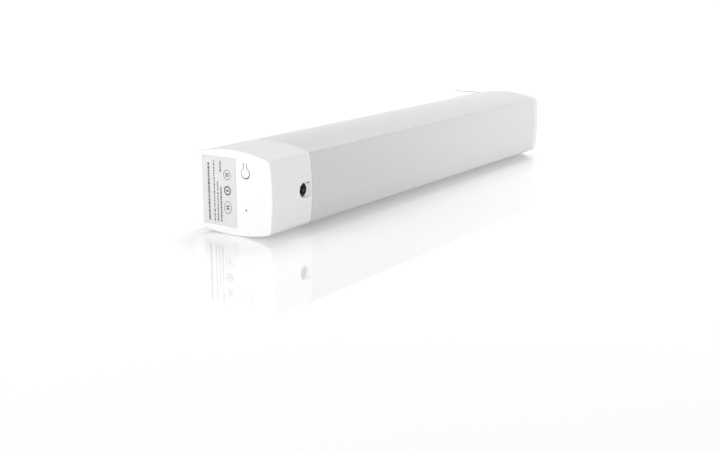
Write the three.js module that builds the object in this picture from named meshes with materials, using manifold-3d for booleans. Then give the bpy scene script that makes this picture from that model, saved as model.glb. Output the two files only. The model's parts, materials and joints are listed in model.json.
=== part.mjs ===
// LED light tube: an opal bar light with a control cap at one end and a hanging tab at the other.
// Millimetres. X runs along the bar from the control cap to the far cap, Y to its left, Z up.
// The origin is on the underside, halfway along, in the narrow flat that the bar stands on.
// "Station" is a distance along X behind the control cap's end face.
import * as THREE from "three";
import { mergeVertices } from "three/addons/utils/BufferGeometryUtils.js";
import Module from "manifold-3d";

const wasm = await Module();
wasm.setup();

// ---------- Driving dimensions ----------

// Housing section: crowned top, flatter underside, shallow side arcs, rounded corners
const LENGTH = 345.2;
const WIDTH = 60;
const HEIGHT = 50;
const CROWN_RISE = 4.25; // bulge of the top past the corners
const BASE_RISE = 3.6; // bulge of the underside past the corners
const SIDE_RISE = 1.5; // bulge of the sides past the corners
const REST_FLAT = 4; // width of the flat along the middle of the top and underside
const CAP_CORNER = { crown: 2.6, base: 4.2 }; // corner radii beside the top and beside the underside
const TUBE_CORNER = { crown: 1.5, base: 3 };
const CROWN_STEPS = 6; // facets on half a crown
const SIDE_STEPS = 2; // whole facets on half a side
const CORNER_STEPS = 3;
const MIN_CORNER = 0.5; // smallest corner radius of an inset section

// Gaps
const JOINT_GAP = 0.3; // between the caps and the tube
const FIT = 0.3; // round plugs, boards and shafts
const LAID = 0.05; // between a flat piece and the face it is fixed to
const OVERCUT = 1; // how far a cutter runs past the face it opens
const OVERLAP = 0.5; // how far a joined piece sinks into its neighbour

// Pan-head screws, and the plain holes for them
const SMALL_SCREW = { head: 1.9, headHeight: 1.3, shank: 0.75 };
const LED_SCREW = { head: 2.2, headHeight: 1.5, shank: 1 };
const LARGE_SCREW = { head: 2.6, headHeight: 1.9, shank: 1.25 };
const SCREW_LENGTH = { controlBoard: 6, driverBoard: 3.6, ledBoard: 4.8, cap: 11, bulkhead: 12, farCap: 20 };
const BOARD_HOLE = 1.3;
const LED_HOLE = 1.4;
const SCREW_HOLE = 1.6;

// Control cap
const CAP_LENGTH = 37.6;
const CAP_WALL = 2.2;
const END_WALL = 2.6;

// Far cap
const FAR_LENGTH = 8.4;
const FAR_PLATE = 2.6;
const PLUG_DEPTH = 6; // how far the far cap's rim plugs into the tube
const PLUG_WALL = 1.6;

// Diffuser tube and its rails for the carrier
const TUBE_WALL = 1.8;
const RAIL = { width: 2.4, height: 1.4 };

// Aluminium carrier, with a screw port under each side
const CARRIER = { halfWidth: 27.6, bottom: 24.5, thickness: 2, end: 330.6 };
const PORT = { y: 21, z: 21.4, radius: 3.2, bore: 1.6, slit: 1.4 };

// Bulkhead between the cap and the tube
const BULKHEAD = { station: 38, thickness: 2.6, lipReach: 5, lipWall: 1.5, lipHalfWidth: 14 };
const SHELF = { y: 18.5, width: 3.4, height: 2.5, start: 15, screwAt: 19 }; // two arms under the driver board
const CABLE_WINDOW = { y0: -10, y1: 3.5, z0: 15, z1: 32 };
const CAP_SCREW = { y: 8.7, z: [12, 38], wellRadius: 3.6, wellBore: 2.9, wellEnd: 37.2, floor: 2.2 };
const CAP_SCREW_BOSS = { radius: 3.2, length: 6 };

// Power button: a round pad on a neck that bends at its top
const BUTTON = { y: -11, z: 37.4, pad: 2.7, neck: 0.9, neckTop: 43.3, flare: 40.4, slit: 0.5 };
const BUTTON_THICKNESS = 2;
const BUTTON_STEM = { radius: 1.1, tip: 4.1 };

// Control board, tact switch and status light
const CONTROL_BOARD = { station: 8.6, thickness: 1.6, y0: -24, y1: 2.5, z0: 9, z1: 42.5 };
const BOARD_BOSS = { radius: 2.2, bore: 1.05, floor: 0.8, spots: [[-20.5, 37], [-3, 13]] };
const TACT = { size: 6, height: 3.5, bore: 2.05, boreDepth: 2.2 };
const PLUNGER = { radius: 1.7, out: 0.8, in: 1.4 };
const STATUS = { y: -11, z: 16, hole: 0.75, led: 3, ledHeight: 1.2 };
const LIGHT_PIPE = { radius: 0.45, tip: 1.3, flange: 1.5, flangeLength: 0.9, flangeGap: 0.1, ledGap: 0.2 };

// DC inlet: a barrel socket at the bottom of a pocket in the cap's side
const SOCKET = { station: 29.7, z: 24.9, width: 9, below: 6.5, above: 4.5, depth: 13.2 };
const POCKET = { radius: 4.5, straight: 4.8, rampEnd: 6.8, depth: 1.9, floor: 1.6, margin: 2.2 };
const KEY_NOTCH = { x0: 4.4, x1: 6, z0: 3, z1: 4.1, depth: 2.9 }; // offsets from the socket's axis
const NOSE = { radius: 4.25, hole: 4.55, proud: 0.4 };
const BARREL = { bore: 3.15, depth: 10.5, pin: 1, pinSetback: 2, pinStep: 0.4, pinTip: 0.6, terminal: 0.5 };
const LEAF = { halfWidth: 1.1, thickness: 0.35, drop: 0.75, setback: 1, slotTop: 0.5 };

// Driver board
const DRIVER_BOARD = { start: 13, end: 34.3, halfWidth: 22, thickness: 1.6 };
const INDUCTOR = { station: 19.4, y: 7.4, top: 5, foot: 5.4, height: 5 };
const CAPACITOR = { station: 29.5, y: 12, radius: 4, height: 10 };
const DRIVER_CHIP = { start: 17, end: 22, y0: -7, y1: -3, height: 1.5 };
const CONNECTOR = { start: 27, end: 32, y0: -8, y1: 4, height: 5, leadHeight: 2.2 };

// LED board
const LED_BOARD = { start: 48, end: 328, halfWidth: 10, thickness: 1.6 };
const LED = { count: 12, first: 57, pitch: 23.8, size: 5, height: 1.5, dish: 2, dishDepth: 0.3 };
const LED_SCREW_GAPS = [0.5, 5.5, 10.5]; // LED pitches from the first LED to each board screw

// Battery pack, slung under the carrier
const CELL = { radius: 9.2, length: 65, y: 9.7, z: 12, start: 62 };
const CRADLE = { halfWidth: 17.2, bottom: 14.5, overhang: 3, wall: 2, reliefDepth: 2 };
const STRIP = { width: 8, thickness: 0.25 };
const CELL_TAB = { z0: 7, z1: 14 };
const CELL_LINK = { z0: 5, z1: 13 };

// Leads
const LEAD_RADIUS = 0.75;
const LEAD_SIDES = 8;
const BATTERY_LEAD = {
  straight: 36, drift: 0.2,
  dip: 42, dipDrift: 0.6, dipZ: 18,
  under: 50, underY: 4.6, underZ: 12,
};
const LEAD_END = { runIn: 3, runInY: 9, y: 9.4, z: 9.6 }; // where a lead meets a cell's tab
const CONNECTOR_PINS = { batteryPositive: 2.6, batteryNegative: -0.4, ledPositive: -3.4, ledNegative: -6.4 };
const LED_LEAD = { straight: 35, rise: 1.4, climb: 38.6, climbZ: 27, over: 43, end: 51 };
const CABLE = { halfWidth: 2.4, halfThickness: 0.4, startZ: 25, out: 1.6, bend: 4.2, bendZ: 22.4, drop: 4.8 };
const CABLE_FOOT_GAP = 0.4; // between the cable's end and the driver board

// Rating label on the end face
const LABEL = { y: 8.6, z: 25, width: 25.3, height: 40.5, thickness: 0.15 };

// Hanging tab on the far face
const TAB = { y: 12, z: 37.6, reach: 35.5, halfWidth: 9.2, thickness: 2.5, corner: 0.7 };
const TAB_SLOT = { centre: 25.5, length: 9, width: 6 };
const PIVOT = { shoulder: 2, hole: 2.3, head: 4, headHeight: 1.1, thread: 1.4, depth: 9 };
const PIVOT_BOSS = { radius: 3.6, floor: 1.5 };
const PIVOT_RECESS = { arm: 2.2, slot: 0.4, depth: 0.7 };
const HEAD_SEAT_GAP = 0.15; // under the pivot screw's head
const FAR_SCREW = { seat: 3, seatDepth: 2.2, boss: 4, bossLength: 2, hole: 8 };
const WASHER = { outer: 5.5, thickness: 0.3, gap: 0.1 };

// ---------- Solids ----------

const station = (distance) => distance - LENGTH / 2;

// A closed geometry as a solid that can be joined and cut.
function toSolid(geometry) {
  const bare = geometry.clone();
  bare.deleteAttribute("normal");
  bare.deleteAttribute("uv");
  const merged = mergeVertices(bare, 1e-4);
  const vertProperties = merged.getAttribute("position").array;
  const triVerts = new Uint32Array(merged.index.array);
  return new wasm.Manifold(new wasm.Mesh({ numProp: 3, vertProperties, triVerts }));
}

function toGeometry(solid) {
  const mesh = solid.getMesh();
  const geometry = new THREE.BufferGeometry();
  geometry.setAttribute("position", new THREE.BufferAttribute(mesh.vertProperties, 3));
  geometry.setIndex(new THREE.BufferAttribute(mesh.triVerts, 1));
  const faceted = geometry.toNonIndexed();
  faceted.computeVertexNormals();
  return faceted;
}

// Joins the first list of geometries, then cuts the second list out of them.
function carve(joined, removed) {
  let solid = joined.map(toSolid).reduce((sum, piece) => sum.add(piece));
  for (const tool of removed) solid = solid.subtract(toSolid(tool));
  return toGeometry(solid);
}

function box(x0, x1, y0, y1, z0, z1) {
  const geometry = new THREE.BoxGeometry(x1 - x0, y1 - y0, z1 - z0);
  return geometry.translate((x0 + x1) / 2, (y0 + y1) / 2, (z0 + z1) / 2);
}

// Extrudes a shape drawn in (y, z) from x0 to x1.
function alongX(shape, x0, x1, curveSegments = 8) {
  const geometry = new THREE.ExtrudeGeometry(shape, { depth: x1 - x0, bevelEnabled: false, curveSegments });
  const [x, y, z] = [new THREE.Vector3(1, 0, 0), new THREE.Vector3(0, 1, 0), new THREE.Vector3(0, 0, 1)];
  return geometry.applyMatrix4(new THREE.Matrix4().makeBasis(y, z, x).setPosition(x0, 0, 0));
}

// Extrudes a shape drawn in (x, z) from y0 outwards to the lower y1.
function towardRight(shape, y0, y1, curveSegments = 8) {
  const geometry = new THREE.ExtrudeGeometry(shape, { depth: y0 - y1, bevelEnabled: false, curveSegments });
  return geometry.rotateX(Math.PI / 2).translate(0, y0, 0);
}

function rodX(radius, x0, x1, y, z, sides = 16) {
  const geometry = new THREE.CylinderGeometry(radius, radius, x1 - x0, sides);
  return geometry.rotateZ(Math.PI / 2).translate((x0 + x1) / 2, y, z);
}

function rodY(radius, y0, y1, x, z, sides = 24) {
  return new THREE.CylinderGeometry(radius, radius, y1 - y0, sides).translate(x, (y0 + y1) / 2, z);
}

function rodZ(radius, z0, z1, x, y, sides = 12) {
  const geometry = new THREE.CylinderGeometry(radius, radius, z1 - z0, sides);
  return geometry.rotateX(Math.PI / 2).translate(x, y, (z0 + z1) / 2);
}

// ---------- Housing section ----------

const arcRadius = (chord, rise) => (chord * chord) / (8 * rise) + rise / 2;
const CROWN_RADIUS = arcRadius(WIDTH - 2 * SIDE_RISE, CROWN_RISE);
const BASE_RADIUS = arcRadius(WIDTH - 2 * SIDE_RISE, BASE_RISE);
const SIDE_RADIUS = arcRadius(HEIGHT - 2 * CROWN_RISE, SIDE_RISE);

// A quarter of the section, from the flat beside the middle of a crown round the corner to the side.
// Heights are measured from mid-height, and angles from straight up towards the side.
function quarterOutline(inset, outerCorner, crownRadius) {
  const corner = Math.max(outerCorner - inset, MIN_CORNER);
  const crown = crownRadius - inset;
  const side = SIDE_RADIUS - inset;
  const flatAngle = Math.asin(REST_FLAT / 2 / crownRadius);
  const crownZ = HEIGHT / 2 - crownRadius * Math.cos(flatAngle);
  const sideY = WIDTH / 2 - SIDE_RADIUS;

  // The corner's centre is a corner radius inside both arcs, where two circles cross.
  const apart = Math.hypot(sideY, crownZ);
  const along = ((crown - corner) ** 2 - (side - corner) ** 2 + apart ** 2) / (2 * apart);
  const across = Math.sqrt((crown - corner) ** 2 - along ** 2);
  const cornerY = (along * sideY - across * crownZ) / apart;
  const cornerZ = crownZ - (along * crownZ + across * sideY) / apart;
  const crownEnd = Math.atan2(cornerY, cornerZ - crownZ);
  const sideStart = Math.atan2(cornerY - sideY, cornerZ);

  const points = [];
  const sweep = (y, z, radius, from, to, steps, first) => {
    for (let i = first; i <= Math.floor(steps); i++) {
      const angle = from + ((to - from) * i) / steps;
      points.push([y + radius * Math.sin(angle), z + radius * Math.cos(angle)]);
    }
  };
  sweep(0, crownZ, crown, flatAngle, crownEnd, CROWN_STEPS, 0);
  sweep(cornerY, cornerZ, corner, crownEnd, sideStart, CORNER_STEPS, 1);
  sweep(sideY, 0, side, sideStart, Math.PI / 2, SIDE_STEPS + 0.5, 1);
  return points;
}

// The section's outline in (y, z), moved inwards from the outer surface by inset.
function sectionShape(inset, corners) {
  const upper = quarterOutline(inset, corners.crown, CROWN_RADIUS);
  const lower = quarterOutline(inset, corners.base, BASE_RADIUS);
  const placed = (quarter, signY, signZ) =>
    quarter.map(([y, z]) => new THREE.Vector2(signY * y, HEIGHT / 2 + signZ * z));
  return new THREE.Shape([
    ...placed(upper, 1, 1).reverse(),
    ...placed(upper, -1, 1),
    ...placed(lower, -1, -1).reverse(),
    ...placed(lower, 1, -1),
  ]);
}

// ---------- Fasteners and leads ----------

// A pan-head screw with a cross recess, its head's seat at the origin and its point towards +X.
function screwGeometry({ head, headHeight, shank }, length) {
  const profile = [
    [0, -headHeight],
    [head * 0.7, -headHeight],
    [head, -headHeight * 0.55],
    [head, 0],
    [shank, 0],
    [shank, length - shank],
    [0, length],
  ].map(([radius, x]) => new THREE.Vector2(radius, x));
  const turned = new THREE.LatheGeometry(profile, 16).rotateZ(-Math.PI / 2);
  const arm = head * 0.55;
  const slot = head * 0.13;
  const sunk = [-headHeight - OVERCUT, -headHeight * 0.45];
  return carve([turned], [box(...sunk, -arm, arm, -slot, slot), box(...sunk, -slot, slot, -arm, arm)]);
}

// A round lead along a smooth curve through its points.
function leadGeometry(points) {
  const curve = new THREE.CatmullRomCurve3(points.map(([x, y, z]) => new THREE.Vector3(x, y, z)));
  const ring = [];
  for (let i = 0; i < LEAD_SIDES; i++) {
    const angle = (i / LEAD_SIDES) * 2 * Math.PI;
    ring.push(new THREE.Vector2(LEAD_RADIUS * Math.cos(angle), LEAD_RADIUS * Math.sin(angle)));
  }
  const steps = Math.ceil(curve.getLength() / (5 * LEAD_RADIUS));
  return new THREE.ExtrudeGeometry(new THREE.Shape(ring), { steps, extrudePath: curve });
}

// ---------- Materials ----------

const plastic = (color, roughness) => new THREE.MeshStandardMaterial({ color, roughness, metalness: 0 });
const metal = (color, roughness) => new THREE.MeshStandardMaterial({ color, roughness, metalness: 1 });
const WHITE_PLASTIC = plastic(0xf2f3f3, 0.4);
const OPAL = plastic(0xd9dcde, 0.45);
const CLEAR = plastic(0xe8eef0, 0.1);
const LABEL_FILM = plastic(0xd9d9d9, 0.5);
const BLACK_PLASTIC = plastic(0x151515, 0.35);
const GREY_NYLON = plastic(0x8d9194, 0.6);
const GREEN_BOARD = plastic(0x1f5d3a, 0.45);
const WHITE_BOARD = plastic(0xf4f4f0, 0.4);
const PHOSPHOR = plastic(0xf0d070, 0.3);
const CELL_WRAP = plastic(0x3c78b4, 0.4);
const RED_LEAD = plastic(0xb02020, 0.5);
const BLACK_LEAD = plastic(0x202020, 0.5);
const GREY_LEAD = plastic(0xa0a0a0, 0.5);
const STEEL = metal(0xb8babc, 0.35);
const NICKEL = metal(0xc8c6c0, 0.3);
const ALUMINIUM = metal(0xc4c6c8, 0.4);

const light = new THREE.Group();

function addPiece(name, geometry, material, position = [0, 0, 0]) {
  const mesh = new THREE.Mesh(geometry, material);
  mesh.name = name;
  mesh.position.set(...position);
  light.add(mesh);
  return mesh;
}

// ---------- Control cap ----------

// A round pad hanging from a straight neck, with flanks that run tangent into the pad.
function bulbShape(grow) {
  const pad = BUTTON.pad + grow;
  const neck = BUTTON.neck + grow;
  const drop = BUTTON.flare - BUTTON.z;
  const tangent = Math.atan2(drop, neck) - Math.acos(pad / Math.hypot(neck, drop));
  const shape = new THREE.Shape();
  shape.moveTo(BUTTON.y + neck, BUTTON.neckTop + grow);
  shape.lineTo(BUTTON.y - neck, BUTTON.neckTop + grow);
  shape.lineTo(BUTTON.y - neck, BUTTON.flare);
  shape.absarc(BUTTON.y, BUTTON.z, pad, Math.PI - tangent, 2 * Math.PI + tangent, false);
  shape.lineTo(BUTTON.y + neck, BUTTON.flare);
  return shape;
}

// The pocket's outline in (x, z): half round towards the end face, squared towards the tube.
function pocketShape() {
  const shape = new THREE.Shape();
  shape.moveTo(SOCKET_X + POCKET.straight, SOCKET.z - POCKET.radius);
  shape.lineTo(SOCKET_X + POCKET.straight, SOCKET.z + POCKET.radius);
  shape.absarc(SOCKET_X, SOCKET.z, POCKET.radius, Math.PI / 2, 1.5 * Math.PI, false);
  return shape;
}

// The wedge that slopes the pocket's end up to the cap's side.
function pocketRamp() {
  const start = SOCKET_X + POCKET.straight;
  const slope = (POCKET.rampEnd - POCKET.straight) / POCKET.depth;
  const shape = new THREE.Shape();
  shape.moveTo(start - OVERCUT, POCKET_FLOOR);
  shape.lineTo(start, POCKET_FLOOR);
  shape.lineTo(SOCKET_X + POCKET.rampEnd + slope * OVERCUT, RIGHT - OVERCUT);
  shape.lineTo(start - OVERCUT, RIGHT - OVERCUT);
  const geometry = new THREE.ExtrudeGeometry(shape, { depth: 2 * POCKET.radius, bevelEnabled: false });
  return geometry.translate(0, 0, SOCKET.z - POCKET.radius);
}

const RIGHT = -WIDTH / 2;
const POCKET_FLOOR = RIGHT + POCKET.depth;
const SOCKET_FRONT = POCKET_FLOOR + POCKET.floor + FIT;
const SOCKET_X = station(SOCKET.station);

function controlCap() {
  const front = station(0);
  const rear = station(CAP_LENGTH) - JOINT_GAP / 2;
  const innerFace = station(END_WALL);
  const wellEnd = station(CAP_SCREW.wellEnd);
  const bossEnd = station(CONTROL_BOARD.station) - LAID;
  const margin = POCKET.radius + POCKET.margin;
  const joined = [
    box(
      SOCKET_X - margin, SOCKET_X + POCKET.straight + POCKET.margin,
      RIGHT + CAP_WALL / 2, POCKET_FLOOR + POCKET.floor,
      SOCKET.z - margin, SOCKET.z + margin,
    ),
  ];
  const removed = [
    towardRight(pocketShape(), POCKET_FLOOR, RIGHT - OVERCUT, 12),
    pocketRamp(),
    box(
      SOCKET_X + KEY_NOTCH.x0, SOCKET_X + KEY_NOTCH.x1,
      RIGHT - OVERCUT, RIGHT + KEY_NOTCH.depth,
      SOCKET.z + KEY_NOTCH.z0, SOCKET.z + KEY_NOTCH.z1,
    ),
    rodY(NOSE.hole, POCKET_FLOOR - OVERCUT, SOCKET_FRONT + OVERCUT, SOCKET_X, SOCKET.z),
    rodX(STATUS.hole, front - OVERCUT, innerFace + OVERCUT, STATUS.y, STATUS.z, 12),
    alongX(bulbShape(BUTTON.slit), front - OVERCUT, innerFace + OVERCUT, 14),
  ];
  for (const z of CAP_SCREW.z) {
    const wellFloor = wellEnd - CAP_SCREW.floor;
    joined.push(rodX(CAP_SCREW.wellRadius, innerFace - OVERLAP, wellEnd, CAP_SCREW.y, z, 20));
    removed.push(rodX(CAP_SCREW.wellBore, front - OVERCUT, wellFloor, CAP_SCREW.y, z, 20));
    removed.push(rodX(SCREW_HOLE, wellFloor - OVERCUT, wellEnd + OVERCUT, CAP_SCREW.y, z, 12));
  }
  for (const [y, z] of BOARD_BOSS.spots) {
    joined.push(rodX(BOARD_BOSS.radius, innerFace - OVERLAP, bossEnd, y, z, 12));
    removed.push(rodX(BOARD_BOSS.bore, innerFace + BOARD_BOSS.floor, bossEnd + OVERCUT, y, z, 12));
  }
  const shell = toGeometry(
    toSolid(alongX(sectionShape(0, CAP_CORNER), front, rear))
      .subtract(toSolid(alongX(sectionShape(CAP_WALL, CAP_CORNER), innerFace, rear + OVERCUT))),
  );
  return carve([shell, ...joined], removed);
}

addPiece("control_cap", controlCap(), WHITE_PLASTIC);

const labelFace = station(0) - LAID;
addPiece(
  "rating_label",
  box(
    labelFace - LABEL.thickness, labelFace,
    LABEL.y - LABEL.width / 2, LABEL.y + LABEL.width / 2,
    LABEL.z - LABEL.height / 2, LABEL.z + LABEL.height / 2,
  ),
  LABEL_FILM,
);

addPiece(
  "power_button",
  carve(
    [
      alongX(bulbShape(0), station(0), station(BUTTON_THICKNESS), 14),
      rodX(
        BUTTON_STEM.radius,
        station(BUTTON_THICKNESS) - OVERLAP, station(BUTTON_STEM.tip),
        BUTTON.y, BUTTON.z, 12,
      ),
    ],
    [],
  ),
  WHITE_PLASTIC,
);

// ---------- Control board ----------

const boardFront = station(CONTROL_BOARD.station);
const boardBack = boardFront + CONTROL_BOARD.thickness;

addPiece(
  "control_board",
  carve(
    [box(boardFront, boardBack, CONTROL_BOARD.y0, CONTROL_BOARD.y1, CONTROL_BOARD.z0, CONTROL_BOARD.z1)],
    BOARD_BOSS.spots.map(([y, z]) => rodX(BOARD_HOLE, boardFront - OVERCUT, boardBack + OVERCUT, y, z, 12)),
  ),
  GREEN_BOARD,
);

BOARD_BOSS.spots.forEach(([y, z], i) => {
  const screw = addPiece(
    "control_board_screw_" + (i + 1),
    screwGeometry(SMALL_SCREW, SCREW_LENGTH.controlBoard),
    STEEL,
    [boardBack + LAID, y, z],
  );
  screw.rotation.z = Math.PI;
});

const tactFront = boardFront - LAID - TACT.height;
addPiece(
  "tact_switch_body",
  carve(
    [
      box(
        tactFront, boardFront - LAID,
        BUTTON.y - TACT.size / 2, BUTTON.y + TACT.size / 2,
        BUTTON.z - TACT.size / 2, BUTTON.z + TACT.size / 2,
      ),
    ],
    [rodX(TACT.bore, tactFront - OVERCUT, tactFront + TACT.boreDepth, BUTTON.y, BUTTON.z)],
  ),
  BLACK_PLASTIC,
);
addPiece(
  "tact_switch_plunger",
  rodX(PLUNGER.radius, tactFront - PLUNGER.out, tactFront + PLUNGER.in, BUTTON.y, BUTTON.z),
  GREY_NYLON,
);

const statusLedFront = boardFront - LAID - STATUS.ledHeight;
const pipeFlange = station(END_WALL) + LIGHT_PIPE.flangeGap;
addPiece(
  "status_led",
  box(
    statusLedFront, boardFront - LAID,
    STATUS.y - STATUS.led / 2, STATUS.y + STATUS.led / 2,
    STATUS.z - STATUS.led / 2, STATUS.z + STATUS.led / 2,
  ),
  PHOSPHOR,
);
addPiece(
  "status_light_pipe",
  carve(
    [
      rodX(
        LIGHT_PIPE.radius,
        station(LIGHT_PIPE.tip), statusLedFront - LIGHT_PIPE.ledGap,
        STATUS.y, STATUS.z, 12,
      ),
      rodX(LIGHT_PIPE.flange, pipeFlange, pipeFlange + LIGHT_PIPE.flangeLength, STATUS.y, STATUS.z, 12),
    ],
    [],
  ),
  CLEAR,
);

// ---------- Driver board and DC socket ----------

const driverTop = SOCKET.z - SOCKET.below - LAID;
const driverBottom = driverTop - DRIVER_BOARD.thickness;
const shelfScrewX = station(SHELF.screwAt);

addPiece(
  "driver_board",
  carve(
    [
      box(
        station(DRIVER_BOARD.start), station(DRIVER_BOARD.end),
        -DRIVER_BOARD.halfWidth, DRIVER_BOARD.halfWidth,
        driverBottom, driverTop,
      ),
    ],
    [-1, 1].map((side) =>
      rodZ(BOARD_HOLE, driverBottom - OVERCUT, driverTop + OVERCUT, shelfScrewX, side * SHELF.y),
    ),
  ),
  GREEN_BOARD,
);
for (const [side, word] of [[1, "left"], [-1, "right"]]) {
  const screw = addPiece(
    "driver_board_screw_" + word,
    screwGeometry(SMALL_SCREW, SCREW_LENGTH.driverBoard),
    STEEL,
    [shelfScrewX, side * SHELF.y, driverTop + LAID],
  );
  screw.rotation.y = Math.PI / 2;
}

const socketBack = SOCKET_FRONT + SOCKET.depth;
const noseTip = POCKET_FLOOR - NOSE.proud;
const barrelFloor = noseTip + BARREL.depth;
const pinTip = noseTip + BARREL.pinSetback;
const leafZ = SOCKET.z - BARREL.bore - LEAF.drop;
const leafFront = SOCKET_FRONT + LEAF.setback;
addPiece(
  "dc_socket",
  carve(
    [
      box(
        SOCKET_X - SOCKET.width / 2, SOCKET_X + SOCKET.width / 2,
        SOCKET_FRONT, socketBack,
        SOCKET.z - SOCKET.below, SOCKET.z + SOCKET.above,
      ),
      rodY(NOSE.radius, noseTip, SOCKET_FRONT + OVERLAP, SOCKET_X, SOCKET.z),
    ],
    [
      rodY(BARREL.bore, noseTip - OVERCUT, barrelFloor, SOCKET_X, SOCKET.z),
      rodY(BARREL.pin + FIT, barrelFloor - OVERCUT, socketBack + OVERCUT, SOCKET_X, SOCKET.z, 12),
      box(
        SOCKET_X - LEAF.halfWidth - FIT, SOCKET_X + LEAF.halfWidth + FIT,
        leafFront, socketBack + OVERCUT,
        leafZ - FIT, SOCKET.z - BARREL.bore + LEAF.slotTop,
      ),
    ],
  ),
  BLACK_PLASTIC,
);
addPiece(
  "dc_socket_pin",
  carve(
    [
      rodY(BARREL.pin, pinTip + BARREL.pinStep, socketBack - BARREL.terminal, SOCKET_X, SOCKET.z, 12),
      rodY(BARREL.pinTip, pinTip, barrelFloor, SOCKET_X, SOCKET.z, 12),
    ],
    [],
  ),
  NICKEL,
);
addPiece(
  "dc_socket_leaf",
  box(
    SOCKET_X - LEAF.halfWidth, SOCKET_X + LEAF.halfWidth,
    leafFront + FIT, socketBack - BARREL.terminal,
    leafZ, leafZ + LEAF.thickness,
  ),
  NICKEL,
);

const seated = driverTop + LAID;
addPiece(
  "inductor",
  new THREE.CylinderGeometry(INDUCTOR.top, INDUCTOR.foot, INDUCTOR.height, 20).rotateX(Math.PI / 2),
  BLACK_PLASTIC,
  [station(INDUCTOR.station), INDUCTOR.y, seated + INDUCTOR.height / 2],
);
addPiece(
  "capacitor",
  rodZ(CAPACITOR.radius, seated, seated + CAPACITOR.height, station(CAPACITOR.station), CAPACITOR.y, 20),
  BLACK_LEAD,
);

// A block that stands on the driver board.
function onDriverBoard({ start, end, y0, y1, height }) {
  return box(station(start), station(end), y0, y1, seated, seated + height);
}

addPiece("driver_chip", onDriverBoard(DRIVER_CHIP), BLACK_PLASTIC);
addPiece("lead_connector", onDriverBoard(CONNECTOR), WHITE_BOARD);

// ---------- Bulkhead ----------

function bulkhead() {
  const front = station(BULKHEAD.station);
  const back = front + BULKHEAD.thickness;
  const lipInset = CAP_WALL + FIT;
  const lipStart = front - BULKHEAD.lipReach;
  const lipHole = sectionShape(lipInset + BULKHEAD.lipWall, CAP_CORNER);
  const lipMiddle = [-BULKHEAD.lipHalfWidth, BULKHEAD.lipHalfWidth];
  const lipRing = toSolid(alongX(sectionShape(lipInset, CAP_CORNER), lipStart, front + OVERLAP))
    .subtract(toSolid(alongX(lipHole, lipStart - OVERCUT, front + OVERCUT)))
    .intersect(toSolid(box(lipStart - OVERCUT, front + OVERCUT, ...lipMiddle, 0, HEIGHT)));
  const joined = [
    alongX(sectionShape(TUBE_WALL + FIT, TUBE_CORNER), front, back),
    toGeometry(lipRing),
  ];
  const removed = [
    box(
      front - OVERCUT, back + OVERCUT,
      CABLE_WINDOW.y0, CABLE_WINDOW.y1,
      CABLE_WINDOW.z0, CABLE_WINDOW.z1,
    ),
  ];
  for (const side of [-1, 1]) {
    const y = side * SHELF.y;
    const top = driverBottom - LAID;
    joined.push(
      box(
        station(SHELF.start), front + OVERLAP,
        y - SHELF.width / 2, y + SHELF.width / 2,
        top - SHELF.height, top,
      ),
    );
    removed.push(rodZ(BOARD_BOSS.bore, top - SHELF.height - OVERCUT, top + OVERCUT, shelfScrewX, y));
    removed.push(rodX(SCREW_HOLE, front - OVERCUT, back + OVERCUT, side * PORT.y, PORT.z, 12));
  }
  for (const z of CAP_SCREW.z) {
    const bossEnd = back + CAP_SCREW_BOSS.length;
    joined.push(rodX(CAP_SCREW_BOSS.radius, front + OVERLAP, bossEnd, CAP_SCREW.y, z, 12));
    removed.push(rodX(SCREW_HOLE, front - OVERCUT, bossEnd + OVERCUT, CAP_SCREW.y, z, 12));
  }
  return carve(joined, removed);
}

addPiece("bulkhead", bulkhead(), GREY_NYLON);

for (const [z, word] of [[CAP_SCREW.z[1], "upper"], [CAP_SCREW.z[0], "lower"]]) {
  addPiece(
    "cap_screw_" + word,
    screwGeometry(LARGE_SCREW, SCREW_LENGTH.cap),
    STEEL,
    [station(CAP_SCREW.wellEnd - CAP_SCREW.floor) - LAID, CAP_SCREW.y, z],
  );
}
for (const [side, word] of [[1, "left"], [-1, "right"]]) {
  addPiece(
    "bulkhead_screw_" + word,
    screwGeometry(LARGE_SCREW, SCREW_LENGTH.bulkhead),
    STEEL,
    [station(BULKHEAD.station) - LAID, side * PORT.y, PORT.z],
  );
}

// ---------- Diffuser tube and carrier ----------

const tubeFront = station(CAP_LENGTH) + JOINT_GAP / 2;
const tubeBack = station(LENGTH - FAR_LENGTH) - JOINT_GAP / 2;
const carrierFront = station(BULKHEAD.station + BULKHEAD.thickness) + FIT;
const carrierTop = CARRIER.bottom + CARRIER.thickness;
const ledScrewX = LED_SCREW_GAPS.map((gap) => station(LED.first + gap * LED.pitch));

function diffuserTube() {
  const shell = toSolid(alongX(sectionShape(0, TUBE_CORNER), tubeFront, tubeBack))
    .subtract(toSolid(alongX(sectionShape(TUBE_WALL, TUBE_CORNER), tubeFront - OVERCUT, tubeBack + OVERCUT)));
  const inner = WIDTH / 2 - TUBE_WALL;
  const rails = [];
  for (const side of [-1, 1]) {
    const [y0, y1] = [side * (inner - RAIL.width), side * (inner + OVERLAP)].sort((a, b) => a - b);
    const below = CARRIER.bottom - FIT;
    const above = carrierTop + FIT;
    rails.push(box(carrierFront, station(CARRIER.end), y0, y1, below - RAIL.height, below));
    rails.push(box(carrierFront, station(CARRIER.end), y0, y1, above, above + RAIL.height));
  }
  return carve([toGeometry(shell), ...rails], []);
}

addPiece("diffuser_tube", diffuserTube(), OPAL);

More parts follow.
